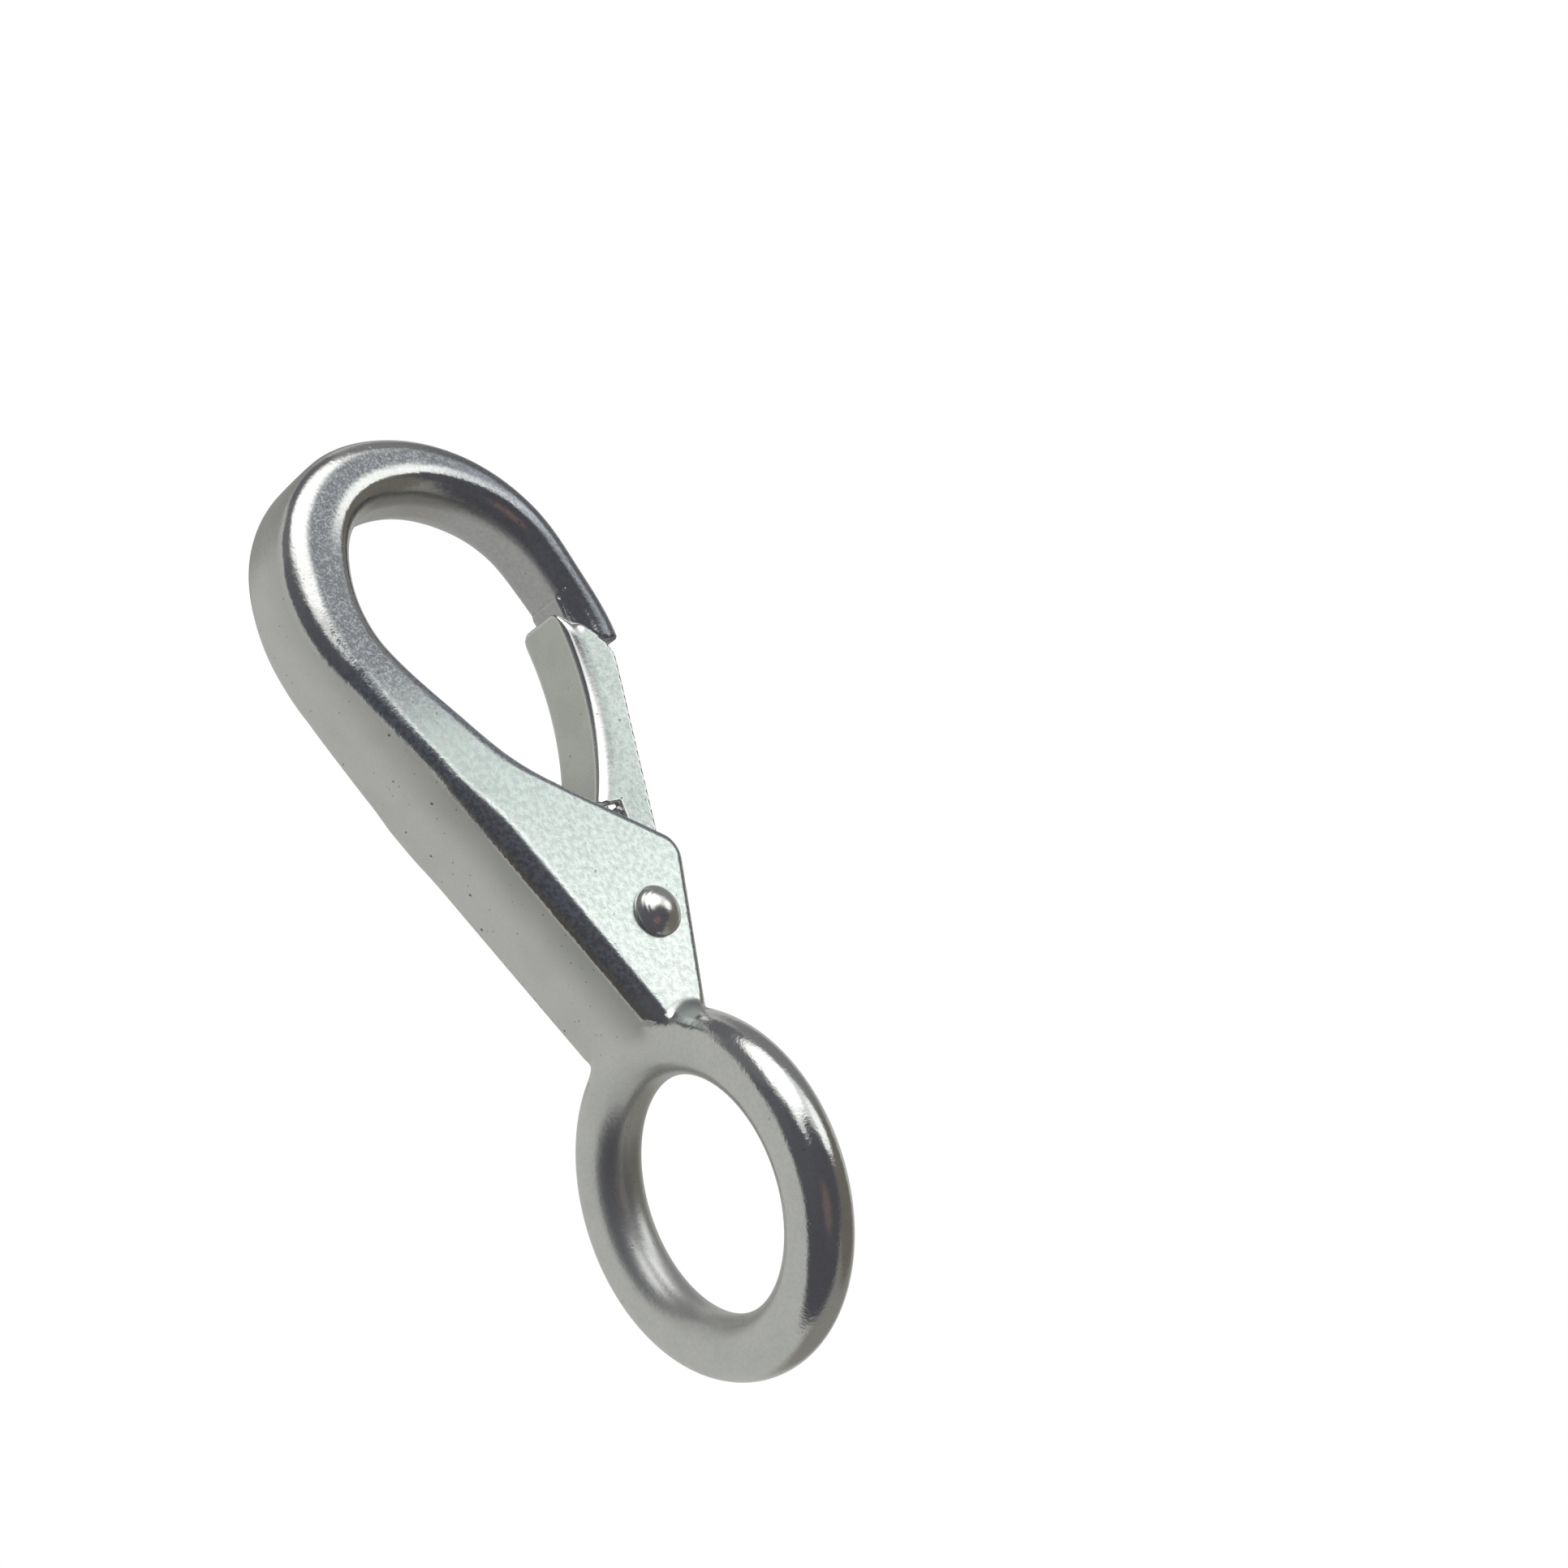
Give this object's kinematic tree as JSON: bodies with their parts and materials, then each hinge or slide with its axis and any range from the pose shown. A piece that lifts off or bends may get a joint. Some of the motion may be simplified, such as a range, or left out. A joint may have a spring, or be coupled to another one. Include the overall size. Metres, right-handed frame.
{
  "type": "snap shackle",
  "caption": "Fixed-eye spring snap hook: cast hook body with a round eye, a folded sheet gate on a rivet and a torsion spring that closes it.",
  "frame": {"origin": "centre of the round eye, on the axis of its hole", "axes": "+Z from the eye towards the top of the hook, +X along the eye's hole towards the gate side, Y through the hook's thickness"},
  "size_m": [0.0299, 0.0294, 0.0798],
  "materials": {
    "cast_body": "cast steel, tumbled and electroplated bright, with a fine pebbled casting texture on its sides",
    "gate_sheet": "folded sheet steel, plated bright, with a mottled pressed texture",
    "rivet": "domed steel rivet, polished",
    "spring_wire": "drawn spring wire"
  },
  "bodies": {
    "hook": {"body": "cast_body", "rivet": "rivet", "spring": "spring_wire"},
    "gate": {"gate": "gate_sheet"}
  },
  "joints": [
    {"name": "gate_hinge", "type": "hinge", "parent": "hook", "child": "gate", "pos_m": [0.00075, 0, 0.02165], "axis": [0, -1, 0], "range_deg": [0, 32], "stiffness_Nm_per_rad": 0.1, "springref_deg": -34.38, "deforming": ["spring"]}
  ]
}
